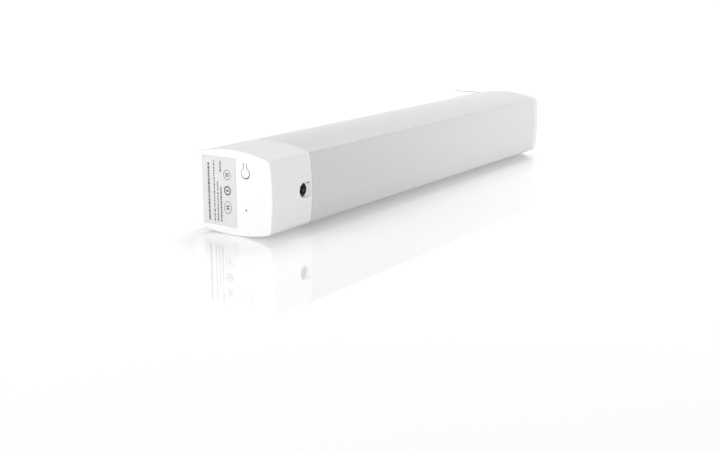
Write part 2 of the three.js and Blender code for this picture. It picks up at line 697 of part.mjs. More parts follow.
function ledCarrier() {
  const [x0, x1] = [carrierFront, station(CARRIER.end)];
  const joined = [box(x0, x1, -CARRIER.halfWidth, CARRIER.halfWidth, CARRIER.bottom, carrierTop)];
  const removed = ledScrewX.map((x) =>
    rodZ(BOARD_HOLE, CARRIER.bottom - OVERCUT, carrierTop + OVERCUT, x, 0),
  );
  for (const side of [-1, 1]) {
    const y = side * PORT.y;
    joined.push(rodX(PORT.radius, x0, x1, y, PORT.z));
    const ends = [x0 - OVERCUT, x1 + OVERCUT];
    removed.push(rodX(PORT.bore, ...ends, y, PORT.z, 12));
    removed.push(box(...ends, y - PORT.slit / 2, y + PORT.slit / 2, PORT.z - PORT.radius - OVERCUT, PORT.z));
  }
  return carve(joined, removed);
}

addPiece("led_carrier", ledCarrier(), ALUMINIUM);

const ledBoardTop = carrierTop + LAID + LED_BOARD.thickness;
addPiece(
  "led_board",
  carve(
    [
      box(
        station(LED_BOARD.start), station(LED_BOARD.end),
        -LED_BOARD.halfWidth, LED_BOARD.halfWidth,
        carrierTop + LAID, ledBoardTop,
      ),
    ],
    ledScrewX.map((x) => rodZ(LED_HOLE, carrierTop - OVERCUT, ledBoardTop + OVERCUT, x, 0)),
  ),
  WHITE_BOARD,
);
ledScrewX.forEach((x, i) => {
  const screw = addPiece(
    "led_board_screw_" + (i + 1),
    screwGeometry(LED_SCREW, SCREW_LENGTH.ledBoard),
    STEEL,
    [x, 0, ledBoardTop + LAID],
  );
  screw.rotation.y = Math.PI / 2;
});

const ledGeometry = carve(
  [box(-LED.size / 2, LED.size / 2, -LED.size / 2, LED.size / 2, 0, LED.height)],
  [rodZ(LED.dish, LED.height - LED.dishDepth, LED.height + OVERCUT, 0, 0)],
);
for (let i = 0; i < LED.count; i++) {
  const x = station(LED.first + i * LED.pitch);
  addPiece("led_" + (i + 1), ledGeometry, PHOSPHOR, [x, 0, ledBoardTop + LAID]);
}

// ---------- Battery pack ----------

const cellFront = station(CELL.start);
const cellBack = cellFront + CELL.length;

for (const [side, word] of [[1, "left"], [-1, "right"]]) {
  const cell = rodX(CELL.radius, cellFront, cellBack, side * CELL.y, CELL.z, 28);
  addPiece("battery_cell_" + word, cell, CELL_WRAP);
}

// A saddle over both cells, with an end wall at each end and room for the strips between.
function batteryCradle() {
  const [x0, x1] = [cellFront - CRADLE.overhang, cellBack + CRADLE.overhang];
  const top = CARRIER.bottom - LAID;
  return carve(
    [box(x0, x1, -CRADLE.halfWidth, CRADLE.halfWidth, CRADLE.bottom, top)],
    [
      ...[-1, 1].map((side) =>
        rodX(CELL.radius + FIT, x0 + CRADLE.wall, x1 - CRADLE.wall, side * CELL.y, CELL.z, 28),
      ),
      ...ledScrewX.map((x) => rodZ(SCREW_HOLE, top - CRADLE.reliefDepth, top + OVERCUT, x, 0)),
    ],
  );
}

addPiece("battery_cradle", batteryCradle(), GREY_NYLON);

const stripX = cellFront - FIT;
for (const [side, word] of [[1, "positive"], [-1, "negative"]]) {
  const y = side * CELL.y;
  addPiece(
    "cell_tab_" + word,
    box(stripX - STRIP.thickness, stripX, y - STRIP.width / 2, y + STRIP.width / 2, CELL_TAB.z0, CELL_TAB.z1),
    NICKEL,
  );
}
addPiece(
  "cell_link",
  box(
    cellBack + FIT, cellBack + FIT + STRIP.thickness,
    -CELL.y - STRIP.width / 2, CELL.y + STRIP.width / 2,
    CELL_LINK.z0, CELL_LINK.z1,
  ),
  NICKEL,
);

// ---------- Leads ----------

const connectorBack = station(CONNECTOR.end) + FIT;
const connectorZ = seated + CONNECTOR.leadHeight;
const tabX = stripX - STRIP.thickness - FIT;

// From the connector at y, down through the bulkhead's window, to the cell's tab on one side.
function batteryLead(y, side) {
  return leadGeometry([
    [connectorBack, y, connectorZ],
    [station(BATTERY_LEAD.straight), y - BATTERY_LEAD.drift, connectorZ],
    [station(BATTERY_LEAD.dip), y - BATTERY_LEAD.dipDrift, BATTERY_LEAD.dipZ],
    [station(BATTERY_LEAD.under), side * BATTERY_LEAD.underY, BATTERY_LEAD.underZ],
    [tabX - LEAD_END.runIn, side * LEAD_END.runInY, LEAD_END.z],
    [tabX, side * LEAD_END.y, LEAD_END.z],
  ]);
}

// From the connector at y, up through the window, and down onto the LED board.
function ledLead(y) {
  return leadGeometry([
    [connectorBack, y, connectorZ],
    [station(LED_LEAD.straight), y, connectorZ + LED_LEAD.rise],
    [station(LED_LEAD.climb), y, LED_LEAD.climbZ],
    [station(LED_LEAD.over), y, ledBoardTop + LED_LEAD.rise],
    [station(LED_LEAD.end), y, ledBoardTop + LEAD_RADIUS + LAID],
  ]);
}

addPiece("battery_lead_positive", batteryLead(CONNECTOR_PINS.batteryPositive, 1), RED_LEAD);
addPiece("battery_lead_negative", batteryLead(CONNECTOR_PINS.batteryNegative, -1), BLACK_LEAD);
addPiece("led_lead_positive", ledLead(CONNECTOR_PINS.ledPositive), RED_LEAD);
addPiece("led_lead_negative", ledLead(CONNECTOR_PINS.ledNegative), BLACK_LEAD);

// A flat four-way cable from the control board down to the driver board.
function controlCable() {
  const curve = new THREE.CatmullRomCurve3([
    new THREE.Vector3(boardBack + LAID, BUTTON.y, CABLE.startZ),
    new THREE.Vector3(boardBack + CABLE.out, BUTTON.y, CABLE.startZ),
    new THREE.Vector3(boardBack + CABLE.bend, BUTTON.y, CABLE.bendZ),
    new THREE.Vector3(boardBack + CABLE.drop, BUTTON.y, seated + CABLE_FOOT_GAP),
  ]);
  const { halfWidth, halfThickness } = CABLE;
  const flat = new THREE.Shape([
    new THREE.Vector2(-halfWidth, -halfThickness),
    new THREE.Vector2(halfWidth, -halfThickness),
    new THREE.Vector2(halfWidth, halfThickness),
    new THREE.Vector2(-halfWidth, halfThickness),
  ]);
  return new THREE.ExtrudeGeometry(flat, { steps: 12, extrudePath: curve });
}

addPiece("control_cable", controlCable(), GREY_LEAD);

// ---------- Far cap and hanging tab ----------

const farFace = station(LENGTH);

function farCap() {
  const front = station(LENGTH - FAR_LENGTH) + JOINT_GAP / 2;
  const plugFront = front - PLUG_DEPTH;
  const inside = farFace - FAR_PLATE;
  const plugInset = TUBE_WALL + FIT;
  const joined = [
    alongX(sectionShape(0, CAP_CORNER), front, farFace),
    alongX(sectionShape(plugInset, TUBE_CORNER), plugFront, front + OVERLAP),
  ];
  const hollow = alongX(sectionShape(plugInset + PLUG_WALL, TUBE_CORNER), plugFront - OVERCUT, inside);
  const block = joined.map(toSolid).reduce((sum, piece) => sum.add(piece));
  const shell = toGeometry(block.subtract(toSolid(hollow)));
  const bossFront = farFace - PIVOT.depth - PIVOT_BOSS.floor;
  const added = [rodX(PIVOT_BOSS.radius, bossFront, inside + OVERLAP, TAB.y, TAB.z)];
  const removed = [rodX(PIVOT.thread + FIT, farFace - PIVOT.depth, farFace + OVERCUT, TAB.y, TAB.z)];
  for (const side of [-1, 1]) {
    const y = side * PORT.y;
    added.push(rodX(FAR_SCREW.boss, inside - FAR_SCREW.bossLength, inside + OVERLAP, y, PORT.z));
    removed.push(rodX(FAR_SCREW.seat, farFace - FAR_SCREW.seatDepth, farFace + OVERCUT, y, PORT.z, 20));
    removed.push(rodX(SCREW_HOLE, farFace - FAR_SCREW.hole, farFace, y, PORT.z, 12));
  }
  return carve([shell, ...added], removed);
}

addPiece("far_cap", farCap(), WHITE_PLASTIC);

for (const [side, word] of [[1, "left"], [-1, "right"]]) {
  const screw = addPiece(
    "far_cap_screw_" + word,
    screwGeometry(LARGE_SCREW, SCREW_LENGTH.farCap),
    STEEL,
    [farFace - FAR_SCREW.seatDepth + LAID, side * PORT.y, PORT.z],
  );
  screw.rotation.z = Math.PI;
}

const washerX = farFace + WASHER.gap;
const tabFront = washerX + WASHER.thickness + WASHER.gap;
const tabBack = tabFront + TAB.thickness;

// The tab's outline in (y, z) about its pivot: round at the pivot, squared at the tip, with a long slot.
function tabShape() {
  const { reach, halfWidth, corner } = TAB;
  const shape = new THREE.Shape();
  shape.absarc(0, 0, halfWidth, Math.PI / 2, 1.5 * Math.PI, false);
  shape.absarc(reach - corner, corner - halfWidth, corner, -Math.PI / 2, 0, false);
  shape.absarc(reach - corner, halfWidth - corner, corner, 0, Math.PI / 2, false);
  const slot = new THREE.Path();
  const half = TAB_SLOT.length / 2 - TAB_SLOT.width / 2;
  slot.absarc(TAB_SLOT.centre + half, 0, TAB_SLOT.width / 2, -Math.PI / 2, Math.PI / 2, false);
  slot.absarc(TAB_SLOT.centre - half, 0, TAB_SLOT.width / 2, Math.PI / 2, 1.5 * Math.PI, false);
  shape.holes.push(slot);
  return shape;
}

const headSeat = TAB.thickness - PIVOT.headHeight - HEAD_SEAT_GAP;
addPiece(
  "hanging_tab",
  carve(
    [alongX(tabShape(), 0, TAB.thickness, 12)],
    [
      rodX(PIVOT.hole, -OVERCUT, TAB.thickness + OVERCUT, 0, 0),
      rodX(PIVOT.head + FIT, headSeat, TAB.thickness + OVERCUT, 0, 0, 20),
    ],
  ),
  WHITE_PLASTIC,
  [tabFront, TAB.y, TAB.z],
);

addPiece(
  "tab_washer",
  carve(
    [rodX(WASHER.outer, washerX, washerX + WASHER.thickness, TAB.y, TAB.z, 20)],
    [rodX(PIVOT.hole, washerX - OVERCUT, washerX + OVERCUT, TAB.y, TAB.z)],
  ),
  NICKEL,
);

function pivotScrew() {
  const headFront = tabBack - PIVOT.headHeight;
  const shoulder = rodX(PIVOT.shoulder, farFace + LAID, headFront + OVERLAP, TAB.y, TAB.z);
  const thread = rodX(PIVOT.thread, farFace - PIVOT.depth + OVERLAP, headFront + OVERLAP, TAB.y, TAB.z, 12);
  const head = rodX(PIVOT.head, headFront, tabBack, TAB.y, TAB.z, 20);
  const sunk = [tabBack - PIVOT_RECESS.depth, tabBack + OVERCUT];
  const { arm, slot } = PIVOT_RECESS;
  const across = box(...sunk, TAB.y - arm, TAB.y + arm, TAB.z - slot, TAB.z + slot);
  const upright = box(...sunk, TAB.y - slot, TAB.y + slot, TAB.z - arm, TAB.z + arm);
  return carve([shoulder, thread, head], [across, upright]);
}

addPiece("tab_pivot_screw", pivotScrew(), STEEL);

export default light;
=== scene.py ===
"""LED light tube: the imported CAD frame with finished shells, print and materials around it."""
import json
import math
import random

import bmesh
import bpy
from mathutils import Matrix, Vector


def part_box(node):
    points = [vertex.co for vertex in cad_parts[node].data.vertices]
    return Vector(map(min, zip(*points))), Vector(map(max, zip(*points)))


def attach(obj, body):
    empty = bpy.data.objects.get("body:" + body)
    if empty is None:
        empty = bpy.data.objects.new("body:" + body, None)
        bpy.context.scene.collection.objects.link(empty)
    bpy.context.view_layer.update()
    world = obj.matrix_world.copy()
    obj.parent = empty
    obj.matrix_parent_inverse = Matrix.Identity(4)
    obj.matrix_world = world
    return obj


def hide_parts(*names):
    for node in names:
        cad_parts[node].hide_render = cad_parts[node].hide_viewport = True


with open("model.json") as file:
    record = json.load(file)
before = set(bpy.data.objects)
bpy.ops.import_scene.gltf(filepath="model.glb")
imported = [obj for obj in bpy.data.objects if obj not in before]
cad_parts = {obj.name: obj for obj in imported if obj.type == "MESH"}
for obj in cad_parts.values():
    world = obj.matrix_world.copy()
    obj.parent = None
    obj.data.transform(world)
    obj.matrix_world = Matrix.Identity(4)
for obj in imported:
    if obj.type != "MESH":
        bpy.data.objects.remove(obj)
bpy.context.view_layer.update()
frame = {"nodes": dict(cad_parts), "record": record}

NODES = frame["nodes"]
MM = 0.001
QUARTER = math.pi / 2  # a quarter turn
OVER = 1 * MM  # how far a cutting tool runs past what it cuts

# ---------- Sizes, in metres ----------

TUBE_LO, TUBE_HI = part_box("diffuser_tube")
CAP_LO, CAP_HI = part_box("control_cap")
FAR_LO, FAR_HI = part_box("far_cap")
LABEL_LO, LABEL_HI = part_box("rating_label")
BUTTON_LO, BUTTON_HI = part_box("power_button")
TAB_LO, TAB_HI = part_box("hanging_tab")
SOCKET_LO, SOCKET_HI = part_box("dc_socket")
SCREW_LO, SCREW_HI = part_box("far_cap_screw_left")
PIVOT_LO, PIVOT_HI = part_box("tab_pivot_screw")
PIPE_LO, PIPE_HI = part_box("status_light_pipe")

HEIGHT = CAP_HI.z - CAP_LO.z
WIDTH = 60 * MM
CROWN_RISE = 4.25 * MM
BASE_RISE = 3.6 * MM  # the underside is flatter than the crown
SIDE_RISE = 1.5 * MM
CAP_CORNER = (2.6 * MM, 4.2 * MM)  # beside the crown, and beside the underside
TUBE_CORNER = (1.5 * MM, 3 * MM)
LEAST_CORNER = 0.4 * MM  # a corner is never tighter than this inside the wall
TUBE_INSET = 0.12 * MM  # the tube sits a hair inside the caps' surface
CAP_WALL = 2.2 * MM
END_WALL = 2.6 * MM
TUBE_WALL = 1.8 * MM
FAR_PLATE = 2.6 * MM
EDGE = 0.9 * MM  # fillet round the end faces
RIM_EDGE = 0.22 * MM  # fillet along the joints of the caps
TUBE_EDGE = 0.15 * MM  # fillet along the joints of the tube
SECTION_STEPS = (26, 9, 14)  # along half a crown, a corner and half a side
FRONT = CAP_LO.x
FAR_FACE = FAR_HI.x


# ---------- The housing's section ----------

def arc_radius(chord, rise):
    return chord * chord / (8 * rise) + rise / 2


CROWN_RADIUS = arc_radius(WIDTH - 2 * SIDE_RISE, CROWN_RISE)
BASE_RADIUS = arc_radius(WIDTH - 2 * SIDE_RISE, BASE_RISE)
SIDE_RADIUS = arc_radius(HEIGHT - 2 * CROWN_RISE, SIDE_RISE)


def quarter_outline(inset, outer_corner, crown_radius):
    """From the middle of a crown round the corner to the middle of a side, as (y, height) points.

    The corner's arc touches the crown's and the side's from inside, which sets its centre."""
    corner = max(outer_corner - inset, LEAST_CORNER)
    crown, side = crown_radius - inset, SIDE_RADIUS - inset
    crown_z, side_y = HEIGHT / 2 - crown_radius, WIDTH / 2 - SIDE_RADIUS
    apart = math.hypot(side_y, crown_z)
    along = ((crown - corner) ** 2 - (side - corner) ** 2 + apart ** 2) / (2 * apart)
    across = math.sqrt((crown - corner) ** 2 - along ** 2)
    corner_y = (along * side_y - across * crown_z) / apart
    corner_z = crown_z - (along * crown_z + across * side_y) / apart
    crown_end = math.atan2(corner_y, corner_z - crown_z)
    side_start = math.atan2(corner_y - side_y, corner_z)
    crown_steps, corner_steps, side_steps = SECTION_STEPS
    points = []

    def sweep(y, z, radius, start, end, steps, first):
        for i in range(first, steps + 1):
            angle = start + (end - start) * i / steps
            points.append((y + radius * math.sin(angle), z + radius * math.cos(angle)))

    sweep(0, crown_z, crown, 0, crown_end, crown_steps, 0)
    sweep(corner_y, corner_z, corner, crown_end, side_start, corner_steps, 1)
    sweep(side_y, 0, side, side_start, QUARTER, side_steps, 1)
    return points


def section(inset, corners):
    """The housing's outline as (y, z) points, moved inwards by inset."""
    upper = quarter_outline(inset, corners[0], CROWN_RADIUS)
    lower = quarter_outline(inset, corners[1], BASE_RADIUS)
    middle = HEIGHT / 2
    left_top = [(y, middle + z) for y, z in reversed(upper)]
    right_top = [(-y, middle + z) for y, z in upper[1:]]
    right_low = [(-y, middle - z) for y, z in list(reversed(lower))[1:]]
    left_low = [(y, middle - z) for y, z in lower[1:-1]]
    return left_top + right_top + right_low + left_low


def section_rings(profile, corners):
    """Rings of the housing's section at each (x, inset) of a profile."""
    return [[(x, y, z) for y, z in section(inset, corners)] for x, inset in profile]


def fillet(x, sign, radius, inset, steps=5, from_plane=True):
    """Profile points of a quarter round from an end plane at x to a wall at an inset.

    sign is the way along X from the plane to the wall. Without from_plane they start at the wall."""
    points = []
    for i in range(steps + 1):
        angle = QUARTER * i / steps
        points.append((
            x + sign * radius * (1 - math.cos(angle)),
            inset + radius * (1 - math.sin(angle)),
        ))
    return points if from_plane else points[::-1]


# ---------- Outlines ----------

def arc(a, b, radius, start, end, steps):
    return [
        (a + radius * math.cos(start + (end - start) * i / steps),
         b + radius * math.sin(start + (end - start) * i / steps))
        for i in range(steps + 1)
    ]


def circle(a, b, radius, steps=48):
    return arc(a, b, radius, 0, math.tau, steps)[:-1]


def rectangle(a0, a1, b0, b1):
    return [(a0, b0), (a1, b0), (a1, b1), (a0, b1)]


def rounded_rectangle(a0, a1, b0, b1, radius, steps=6):
    return (
        arc(a1 - radius, b1 - radius, radius, 0, QUARTER, steps)
        + arc(a0 + radius, b1 - radius, radius, QUARTER, 2 * QUARTER, steps)
        + arc(a0 + radius, b0 + radius, radius, 2 * QUARTER, 3 * QUARTER, steps)
        + arc(a1 - radius, b0 + radius, radius, 3 * QUARTER, 4 * QUARTER, steps)
    )


# ---------- Meshes ----------

def new_object(name, bm):
    """Turns a bmesh into an object of the scene."""
    mesh = bpy.data.meshes.new(name)
    bm.to_mesh(mesh)
    bm.free()
    piece = bpy.data.objects.new(name, mesh)
    bpy.context.scene.collection.objects.link(piece)
    return piece


def loft(name, rings, looped=False):
    """A mesh through rings of points. Flat faces close its ends, or the last ring joins the first."""
    bm = bmesh.new()
    loops = [[bm.verts.new(p) for p in ring] for ring in rings]
    following = loops[1:] + loops[:1] if looped else loops[1:]
    for a, b in zip(loops, following):
        for i in range(len(a)):
            j = (i + 1) % len(a)
            bm.faces.new((a[i], a[j], b[j], b[i]))
    if not looped:
        bm.faces.new(list(reversed(loops[0])))
        bm.faces.new(loops[-1])
    bmesh.ops.recalc_face_normals(bm, faces=bm.faces)
    return new_object(name, bm)


def extruded(name, outline, axis, start, end):
    """A prism along an axis. The outline's points leave that axis out."""
    at = "xyz".index(axis)
    return loft(name, [[(*p[:at], depth, *p[at:]) for p in outline] for depth in (start, end)])


def turned(name, profile, centre, axis, steps):
    """A solid turned about the x or y axis, from (distance along the axis, radius) points.

    Its profile starts and ends at radius 0."""
    bm = bmesh.new()
    up = Vector((0, 0, 1))
    along = {"x": Vector((1, 0, 0)), "y": Vector((0, 1, 0))}[axis]
    aside = along.cross(up)
    rings = []
    for distance, radius in profile:
        at = Vector(centre) + along * distance
        if radius == 0:
            rings.append([bm.verts.new(at)])
        else:
            rings.append([
                bm.verts.new(at + (up * math.cos(t) + aside * math.sin(t)) * radius)
                for t in (math.tau * i / steps for i in range(steps))
            ])
    for a, b in zip(rings, rings[1:]):
        for i in range(steps):
            j = (i + 1) % steps
            corners = [a[i % len(a)], a[j % len(a)], b[j % len(b)], b[i % len(b)]]
            corners = list(dict.fromkeys(corners))
            if len(corners) > 2:
                bm.faces.new(corners)
    bmesh.ops.recalc_face_normals(bm, faces=bm.faces)
    return new_object(name, bm)


def apply_modifiers(piece):
    bpy.context.view_layer.update()
    graph = bpy.context.evaluated_depsgraph_get()
    made = bpy.data.meshes.new_from_object(piece.evaluated_get(graph))
    old = piece.data
    piece.modifiers.clear()
    piece.data = made
    bpy.data.meshes.remove(old)


def combine(piece, operation, tools):
    """Applies a boolean with each tool to a piece for good, and removes the tools."""
    for tool in tools:
        modifier = piece.modifiers.new("boolean", "BOOLEAN")
        modifier.operation = operation
        modifier.solver = "EXACT"
        modifier.object = tool
    apply_modifiers(piece)
    for tool in tools:
        mesh = tool.data
        bpy.data.objects.remove(tool)
        bpy.data.meshes.remove(mesh)
    return piece


def cut(piece, *tools):
    return combine(piece, "DIFFERENCE", tools)


def join(piece, *tools):
    return combine(piece, "UNION", tools)


SMOOTH_BELOW = math.radians(42)


def soften(piece, width, segments=2, angle=50):
    """Rounds the edges that are sharper than angle, and shades the piece smooth."""
    if width:
        modifier = piece.modifiers.new("edge", "BEVEL")
        modifier.width = width
        modifier.segments = segments
        modifier.limit_method = "ANGLE"
        modifier.angle_limit = math.radians(angle)
        apply_modifiers(piece)
    piece.data.polygons.foreach_set("use_smooth", [True] * len(piece.data.polygons))
    piece.data.set_sharp_from_angle(angle=SMOOTH_BELOW)
    normals = piece.modifiers.new("normals", "WEIGHTED_NORMAL")
    normals.keep_sharp = True
    normals.weight = 90
    return piece


def finish_piece(piece, mat, body, slot, *nodes):
    """Gives a piece its material and body, and hides the CAD nodes that it stands in for. slot is not
    used.
    """
    piece.data.materials.clear()
    piece.data.materials.append(mat)
    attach(piece, body)
    if nodes:
        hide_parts(*nodes)


# ---------- Material nodes ----------

def shader(name, color, roughness, metallic=0.0, **sockets):
    """A new material's shader. The other sockets go by their names, with _ for each space."""
    mat = bpy.data.materials.new(name)
    mat.use_nodes = True
    bsdf = mat.node_tree.nodes["Principled BSDF"]
    bsdf.inputs["Base Color"].default_value = (*color, 1)
    bsdf.inputs["Roughness"].default_value = roughness
    bsdf.inputs["Metallic"].default_value = metallic
    for socket, value in sockets.items():
        bsdf.inputs[socket.replace("_", " ")].default_value = value
    return mat, mat.node_tree, bsdf


def noise(tree, size, stretch=(1, 1, 1), detail=4.0):
    """A noise whose features are about size metres, drawn out by stretch along x, y and z."""
    coords = tree.nodes.new("ShaderNodeTexCoord")
    mapping = tree.nodes.new("ShaderNodeMapping")
    mapping.inputs["Scale"].default_value = [1 / (size * s) for s in stretch]
    texture = tree.nodes.new("ShaderNodeTexNoise")
    texture.inputs["Scale"].default_value = 1
    texture.inputs["Detail"].default_value = detail
    tree.links.new(coords.outputs["Object"], mapping.inputs["Vector"])
    tree.links.new(mapping.outputs["Vector"], texture.inputs["Vector"])
    return texture.outputs["Fac"]


def component(tree, source, axis):
    """One axis of the coordinates that a source, such as Object or Normal, gives."""
    coords = tree.nodes.new("ShaderNodeTexCoord")
    split = tree.nodes.new("ShaderNodeSeparateXYZ")
    tree.links.new(coords.outputs[source], split.inputs["Vector"])
    return split.outputs[axis]


def spread(tree, value, low, high, start=0.35, end=0.65):
    """Maps a value from start..end to low..high."""
    ranged = tree.nodes.new("ShaderNodeMapRange")
    ranged.inputs["From Min"].default_value = start
    ranged.inputs["From Max"].default_value = end
    ranged.inputs["To Min"].default_value = low
    ranged.inputs["To Max"].default_value = high
    tree.links.new(value, ranged.inputs["Value"])
    return ranged.outputs["Result"]


def mix_colors(tree, factor, a, b, blend="MIX"):
    """Mixes two colours. Each argument is another node's output or a plain value."""
    node = tree.nodes.new("ShaderNodeMix")
    node.data_type = "RGBA"
    node.blend_type = blend
    for socket, value in (("Factor", factor), ("A", a), ("B", b)):
        if isinstance(value, bpy.types.NodeSocket):
            tree.links.new(value, node.inputs[socket])
        else:
            node.inputs[socket].default_value = (*value, 1) if socket != "Factor" else value
    return node.outputs["Result"]


def mottled(tree, color, size, stretch, low, factor):
    """A colour that patches of noise darken, down to low at most."""
    patches = spread(tree, noise(tree, size, stretch, detail=3), 0, 1)
    return mix_colors(tree, factor, color, mix_colors(tree, patches, (low,) * 3, (1, 1, 1)), "MULTIPLY")


def bump(tree, bsdf, height, distance, strength=1.0):
    node = tree.nodes.new("ShaderNodeBump")
    node.inputs["Distance"].default_value = distance
    node.inputs["Strength"].default_value = strength
    tree.links.new(height, node.inputs["Height"])
    tree.links.new(node.outputs["Normal"], bsdf.inputs["Normal"])


def shade(color, factor):
    return tuple(min(1.0, c * factor) for c in color)


# ---------- Materials ----------

def surface(name, color, roughness, metallic=0.0, mottle=0.03, patch=6 * MM, grain=0.25 * MM,
            relief=0.004 * MM, stretch=(1, 1, 1), spread_rough=0.05, **sockets):
    """A finish with broad colour variation, uneven gloss and a fine relief."""
    mat, tree, bsdf = shader(name, color, roughness, metallic, **sockets)
    broad = spread(tree, noise(tree, patch, stretch, detail=3), 0, 1)
    tone = mix_colors(tree, broad, shade(color, 1 - mottle), shade(color, 1 + mottle))
    gloss = noise(tree, patch * 0.4, stretch, detail=5)
    rough = spread(tree, gloss, roughness - spread_rough, roughness + spread_rough)
    tree.links.new(tone, bsdf.inputs["Base Color"])
    tree.links.new(rough, bsdf.inputs["Roughness"])
    bump(tree, bsdf, noise(tree, grain, stretch, detail=2), relief)
    return mat


def opal_finish_and_painted_shade():
    """A thin opal wall with painted light and shade: darker towards the near end, paler towards the far
    end, and paler where it faces up.
    """
    drawn = (14, 1, 1)  # the extrusion's streaks run along X
    mat, tree, bsdf = shader("opal_extrusion", (0.58, 0.585, 0.59), 0.30, Specular_IOR_Level=0.5)
    # Painted light: the wall's colour runs from darker at the near end to paler at the far end.
    along = spread(tree, component(tree, "Object", "X"), 0, 1, TUBE_LO.x, TUBE_HI.x)
    side = mix_colors(tree, along, (0.512, 0.52, 0.525), (0.622, 0.627, 0.632))
    crown = mix_colors(tree, along, (0.55, 0.555, 0.56), (0.61, 0.615, 0.62))
    # Painted light: faces that look up take the paler crown colour and the sides the darker side
    # colour, as lit and shaded copies of one opal.
    painted_top_light = spread(tree, component(tree, "Normal", "Z"), 0, 0.9, 0.3, 0.95)
    wall = mix_colors(tree, painted_top_light, side, crown)
    tree.links.new(mottled(tree, wall, 20 * MM, (10, 1, 1), 0.97, 0.5), bsdf.inputs["Base Color"])
    tree.links.new(spread(tree, noise(tree, 8 * MM, drawn), 0.28, 0.32), bsdf.inputs["Roughness"])
    bump(tree, bsdf, noise(tree, 0.8 * MM, drawn, detail=2), 0.0006 * MM)
    return mat


def sheet_finish_with_painted_edge_shade(name, face, edge):
    """A flat sheet whose faces, which look along X, have one colour and whose cut edges another, which
    paints a shadow line along the edges.
    """
    mat, tree, bsdf = shader(name, face, 0.5, Specular_IOR_Level=0.2)
    # Painted shade: faces that look along X keep the face colour, and the cut edges take the edge
    # colour.
    flat = tree.nodes.new("ShaderNodeMath")
    flat.operation = "ABSOLUTE"
    tree.links.new(component(tree, "Normal", "X"), flat.inputs[0])
    tone = mix_colors(tree, spread(tree, flat.outputs["Value"], 0, 1, 0.45, 0.75), edge, face)
    tree.links.new(mottled(tree, tone, 9 * MM, (1, 1, 1), 0.985, 1), bsdf.inputs["Base Color"])
    tree.links.new(spread(tree, noise(tree, 4 * MM), 0.44, 0.56), bsdf.inputs["Roughness"])
    bump(tree, bsdf, noise(tree, 0.3 * MM, detail=2), 0.005 * MM)
    return mat


def board_finish(name, mask, copper):
    """Solder mask with straight tracks under it, seen as a paler grid of broken lines."""
    mat, tree, bsdf = shader(name, mask, 0.32, Coat_Weight=0.4)
    coords = tree.nodes.new("ShaderNodeTexCoord")
    tracks = tree.nodes.new("ShaderNodeTexBrick")
    tracks.inputs["Scale"].default_value = 320
    tracks.inputs["Mortar Size"].default_value = 0.05
    tracks.inputs["Color1"].default_value = (*mask, 1)
    tracks.inputs["Color2"].default_value = (*shade(mask, 0.85), 1)
    tracks.inputs["Mortar"].default_value = (*copper, 1)
    tree.links.new(coords.outputs["Object"], tracks.inputs["Vector"])
    tree.links.new(tracks.outputs["Color"], bsdf.inputs["Base Color"])
    bump(tree, bsdf, tracks.outputs["Fac"], 0.03 * MM, 0.6)
    tree.links.new(spread(tree, noise(tree, 2 * MM), 0.26, 0.4), bsdf.inputs["Roughness"])
    return mat


WHITE = surface("moulded_white", (0.70, 0.70, 0.70), 0.58, mottle=0.006, patch=14 * MM,
                grain=0.30 * MM, relief=0.006 * MM, Specular_IOR_Level=0.12)
OPAL = opal_finish_and_painted_shade()
# Painted light and shade: the tab's face is paler than the caps' white, and its cut edges are nearly
# black as a painted shadow line.
SHEET = sheet_finish_with_painted_edge_shade("tab_white", (0.83, 0.83, 0.83), (0.04, 0.04, 0.042))
LABEL = surface("label_film", (0.55, 0.55, 0.55), 0.5, mottle=0.012, patch=5 * MM, grain=0.15 * MM,
                relief=0.003 * MM)
INK = surface("print_ink", (0.075, 0.075, 0.08), 0.55, mottle=0.35, patch=0.8 * MM, grain=0.1 * MM,
              relief=0.001 * MM)
BLACK = surface("black_moulding", (0.010, 0.010, 0.011), 0.42, mottle=0.2, patch=2 * MM, grain=0.2 * MM,
                Specular_IOR_Level=0.25)
NYLON = surface("grey_nylon", (0.27, 0.29, 0.30), 0.55, mottle=0.05, grain=0.35 * MM, relief=0.01 * MM)
CLEAR = surface("clear_pipe", (0.75, 0.78, 0.80), 0.15, mottle=0.01, Transmission_Weight=0.6)
PHOSPHOR = surface("led_phosphor", (0.85, 0.68, 0.18), 0.3, mottle=0.08, patch=1 * MM, grain=0.1 * MM)
WRAP = surface("cell_sleeve", (0.05, 0.17, 0.42), 0.3, mottle=0.1, patch=9 * MM, grain=1.2 * MM,
               relief=0.03 * MM, stretch=(3, 1, 1))
SLEEVE = surface("capacitor_sleeve", (0.02, 0.025, 0.05), 0.3, mottle=0.15, patch=3 * MM)
RED = surface("red_insulation", (0.45, 0.02, 0.02), 0.4, mottle=0.1, patch=2 * MM)
DARK = surface("black_insulation", (0.012, 0.012, 0.012), 0.4, mottle=0.2, patch=2 * MM)
RIBBON = surface("ribbon_insulation", (0.35, 0.35, 0.36), 0.5, mottle=0.1, patch=1.5 * MM,
                 stretch=(1, 0.2, 1))
NICKEL = surface("nickel_plate", (0.62, 0.60, 0.57), 0.28, 1.0, mottle=0.05, patch=3 * MM,
                 grain=0.2 * MM, stretch=(1, 6, 1), spread_rough=0.08)
STEEL = surface("zinc_screw", (0.55, 0.56, 0.57), 0.34, 1.0, mottle=0.08, patch=1 * MM, grain=0.15 * MM,
                relief=0.008 * MM, spread_rough=0.08)
ALUMINIUM = surface("extruded_aluminium", (0.66, 0.67, 0.68), 0.38, 1.0, mottle=0.04, patch=3 * MM,
                    grain=0.25 * MM, relief=0.008 * MM, stretch=(60, 1, 1), spread_rough=0.08)
GREEN_BOARD = board_finish("green_board", (0.02, 0.12, 0.05), (0.05, 0.24, 0.10))
WHITE_BOARD = board_finish("white_board", (0.85, 0.85, 0.82), (0.78, 0.78, 0.74))

